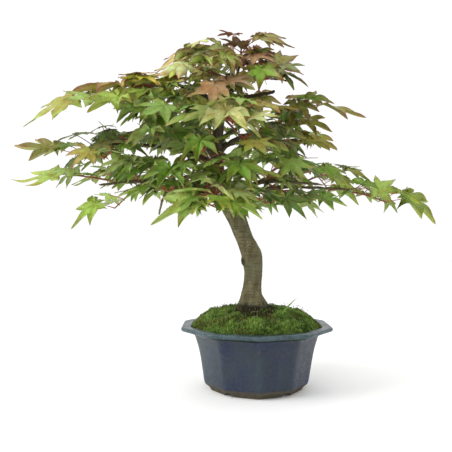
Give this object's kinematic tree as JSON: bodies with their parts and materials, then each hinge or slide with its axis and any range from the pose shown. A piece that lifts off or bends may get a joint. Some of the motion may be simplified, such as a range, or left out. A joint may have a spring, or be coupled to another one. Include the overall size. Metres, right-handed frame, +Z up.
{
  "type": "bonsai tree in a pot",
  "caption": "Japanese maple bonsai with a gently curved trunk and a wide leafy crown, in a ten-sided glazed pot with moss on its soil.",
  "frame": {"origin": "middle of the object's footprint on the surface it stands on, halfway across the crown's width and depth", "axes": "+Z up, +X to the right of the front view along the crown's width, +Y to the back; a corner of the pot and one of its feet face -Y"},
  "size_m": [0.5222, 0.4248, 0.4625],
  "materials": {
    "glaze": "glossy mottled slate blue glaze, bare clay at the feet",
    "drain_plastic": "moulded mesh",
    "wire_metal": "soft drawn wire",
    "soil": "dark loose grains",
    "moss": "soft short moss",
    "grass": "smooth blade",
    "bark": "smooth grey brown bark with fine ridges",
    "foliage": "satin leaves on red stalks"
  },
  "bodies": {
    "root": {"drain_mesh": "drain_plastic", "drain_wire": "wire_metal", "grass_blade": "grass", "leafy_shoot_01": "foliage", "leafy_shoot_02": "foliage", "leafy_shoot_03": "foliage", "leafy_shoot_04": "foliage", "leafy_shoot_05": "foliage", "leafy_shoot_06": "foliage", "leafy_shoot_07": "foliage", "leafy_shoot_08": "foliage", "leafy_shoot_09": "foliage", "leafy_shoot_10": "foliage", "leafy_shoot_11": "foliage", "leafy_shoot_12": "foliage", "leafy_shoot_13": "foliage", "leafy_shoot_14": "foliage", "leafy_shoot_15": "foliage", "leafy_shoot_16": "foliage", "leafy_shoot_17": "foliage", "leafy_shoot_18": "foliage", "leafy_shoot_19": "foliage", "leafy_shoot_20": "foliage", "leafy_shoot_21": "foliage", "leafy_shoot_22": "foliage", "leafy_shoot_23": "foliage", "leafy_shoot_24": "foliage", "leafy_shoot_25": "foliage", "leafy_shoot_26": "foliage", "leafy_shoot_27": "foliage", "leafy_shoot_28": "foliage", "leafy_shoot_29": "foliage", "leafy_shoot_30": "foliage", "leafy_shoot_31": "foliage", "leafy_shoot_32": "foliage", "leafy_shoot_33": "foliage", "leafy_shoot_34": "foliage", "leafy_shoot_35": "foliage", "leafy_shoot_36": "foliage", "leafy_shoot_37": "foliage", "leafy_shoot_38": "foliage", "leafy_shoot_39": "foliage", "leafy_shoot_40": "foliage", "leafy_shoot_41": "foliage", "leafy_shoot_42": "foliage", "leafy_shoot_43": "foliage", "leafy_shoot_44": "foliage", "leafy_shoot_45": "foliage", "leafy_shoot_46": "foliage", "leafy_shoot_47": "foliage", "leafy_shoot_48": "foliage", "leafy_shoot_49": "foliage", "leafy_shoot_50": "foliage", "leafy_shoot_51": "foliage", "leafy_shoot_52": "foliage", "moss": "moss", "pot": "glaze", "soil": "soil", "trunk": "bark"}
  },
  "joints": []
}
